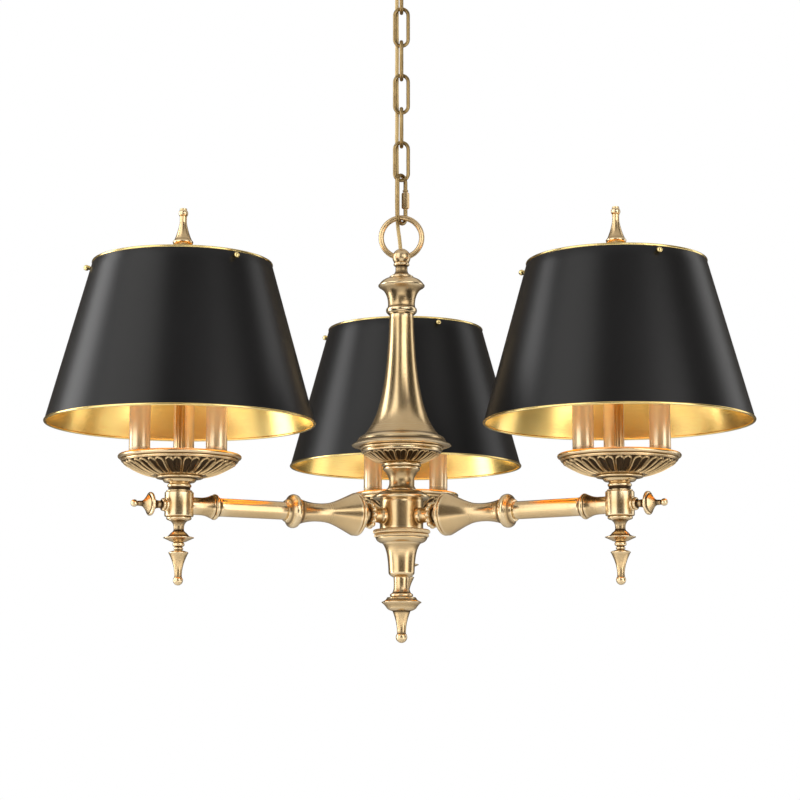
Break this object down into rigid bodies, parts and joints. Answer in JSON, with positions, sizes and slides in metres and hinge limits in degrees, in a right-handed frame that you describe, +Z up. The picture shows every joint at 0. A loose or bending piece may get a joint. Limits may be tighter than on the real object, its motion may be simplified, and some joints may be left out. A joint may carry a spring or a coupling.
{
  "type": "chandelier",
  "caption": "Hanging brass chandelier on a chain: a turned column with straight arms, each ending in a fluted dish of candle lamps under a tapered black shade.",
  "frame": {"origin": "on the ceiling, at the middle of the mounting bracket's two screw holes", "axes": "+Z up into the ceiling along the column, -Y towards the picture's camera, +X to its right"},
  "size_m": [0.8076, 0.7408, 0.8853],
  "materials": {
    "antique_brass": "brushed satin, dark in the grooves",
    "chain_brass": "dark antique brass",
    "candle_gold": "satin, warm orange gold",
    "shade_black": "matt black",
    "shade_gold": "brushed bright gold",
    "steel": "zinc plated",
    "cord": "gold-brown sheath",
    "lampholder": "moulded",
    "bulb_glass": "frosted"
  },
  "bodies": {
    "ceiling_mount": {"ceiling_bracket": "steel", "canopy_nipple": "steel", "canopy": "antique_brass", "canopy_loop": "antique_brass", "power_cord": "cord"},
    "link_1": {"chain_link_1": "chain_brass"},
    "link_2": {"chain_link_2": "chain_brass"},
    "link_3": {"chain_link_3": "chain_brass"},
    "link_4": {"chain_link_4": "chain_brass"},
    "link_5": {"chain_link_5": "chain_brass"},
    "link_6": {"chain_link_6": "chain_brass"},
    "quick_link": {"quick_link": "chain_brass"},
    "sleeve": {"quick_link_sleeve": "chain_brass"},
    "ring": {"hanging_ring": "antique_brass"},
    "frame": {"hanger_ball": "antique_brass", "top_vase": "antique_brass", "trumpet": "antique_brass", "fluted_collar": "antique_brass", "neck_spool": "antique_brass", "tie_rod": "steel", "hub_cap": "antique_brass", "hub_drum": "antique_brass", "hub_base": "antique_brass", "bottom_cup": "antique_brass", "bottom_finial": "antique_brass", "arm_rods": "steel", "arm_roots": "antique_brass", "arm_sockets": "antique_brass", "side_knobs": "antique_brass", "drop_finials": "antique_brass", "candle_sleeves": "candle_gold", "lampholders": "lampholder", "bulbs": "bulb_glass", "arm_cone_left": "antique_brass", "arm_cone_right": "antique_brass", "arm_cone_rear": "antique_brass", "arm_tube_left": "antique_brass", "arm_tube_right": "antique_brass", "arm_tube_rear": "antique_brass", "knuckle_left": "antique_brass", "knuckle_right": "antique_brass", "knuckle_rear": "antique_brass", "dish_left": "antique_brass", "dish_right": "antique_brass", "dish_rear": "antique_brass", "shade_stem_left": "antique_brass", "shade_stem_right": "antique_brass", "shade_stem_rear": "antique_brass"},
    "shade_left": {"spider_left": "shade_gold", "shade_left": "shade_black", "shade_nuts_left": "shade_gold"},
    "shade_right": {"spider_right": "shade_gold", "shade_right": "shade_black", "shade_nuts_right": "shade_gold"},
    "shade_rear": {"spider_rear": "shade_gold", "shade_rear": "shade_black", "shade_nuts_rear": "shade_gold"},
    "finial_left": {"top_finial_left": "antique_brass"},
    "finial_right": {"top_finial_right": "antique_brass"},
    "finial_rear": {"top_finial_rear": "antique_brass"}
  },
  "joints": [
    {"name": "link_1_swing", "type": "hinge", "parent": "ceiling_mount", "child": "link_1", "pos_m": [0, 0, -0.0665], "axis": [1, 0, 0], "range_deg": [-10, 10], "deforming": ["power_cord"]},
    {"name": "link_2_swing", "type": "hinge", "parent": "link_1", "child": "link_2", "pos_m": [0, 0, -0.10885], "axis": [0, 1, 0], "range_deg": [-10, 10]},
    {"name": "link_3_swing", "type": "hinge", "parent": "link_2", "child": "link_3", "pos_m": [0, 0, -0.15145], "axis": [1, 0, 0], "range_deg": [-10, 10]},
    {"name": "link_4_swing", "type": "hinge", "parent": "link_3", "child": "link_4", "pos_m": [0, 0, -0.19405], "axis": [0, 1, 0], "range_deg": [-10, 10]},
    {"name": "link_5_swing", "type": "hinge", "parent": "link_4", "child": "link_5", "pos_m": [0, 0, -0.23665], "axis": [1, 0, 0], "range_deg": [-10, 10]},
    {"name": "link_6_swing", "type": "hinge", "parent": "link_5", "child": "link_6", "pos_m": [0, 0, -0.27925], "axis": [0, 1, 0], "range_deg": [-10, 10]},
    {"name": "quick_link_swing", "type": "hinge", "parent": "link_6", "child": "quick_link", "pos_m": [0, 0, -0.32185], "axis": [1, 0, 0], "range_deg": [-7, 7]},
    {"name": "sleeve_travel", "type": "slide", "parent": "quick_link", "child": "sleeve", "axis": [0, 0, -1], "range_m": [0, 0.009]},
    {"name": "ring_swing", "type": "hinge", "parent": "quick_link", "child": "ring", "pos_m": [0, 0, -0.3759], "axis": [0.5736, 0.8192, 0], "range_deg": [-7, 7]},
    {"name": "frame_swing", "type": "hinge", "parent": "ring", "child": "frame", "pos_m": [0, 0, -0.41845], "axis": [1, 0, 0], "range_deg": [-10, 10]},
    {"name": "shade_left_turn", "type": "hinge", "parent": "frame", "child": "shade_left", "pos_m": [-0.24941, -0.144, -0.44305], "axis": [0, 0, 1], "continuous": true},
    {"name": "shade_right_turn", "type": "hinge", "parent": "frame", "child": "shade_right", "pos_m": [0.24941, -0.144, -0.44305], "axis": [0, 0, 1], "continuous": true},
    {"name": "shade_rear_turn", "type": "hinge", "parent": "frame", "child": "shade_rear", "pos_m": [0, 0.288, -0.44305], "axis": [0, 0, 1], "continuous": true},
    {"name": "finial_left_turn", "type": "hinge", "parent": "frame", "child": "finial_left", "pos_m": [-0.24941, -0.144, -0.43905], "axis": [0, 0, 1], "continuous": true},
    {"name": "finial_right_turn", "type": "hinge", "parent": "frame", "child": "finial_right", "pos_m": [0.24941, -0.144, -0.43905], "axis": [0, 0, 1], "continuous": true},
    {"name": "finial_rear_turn", "type": "hinge", "parent": "frame", "child": "finial_rear", "pos_m": [0, 0.288, -0.43905], "axis": [0, 0, 1], "continuous": true}
  ]
}
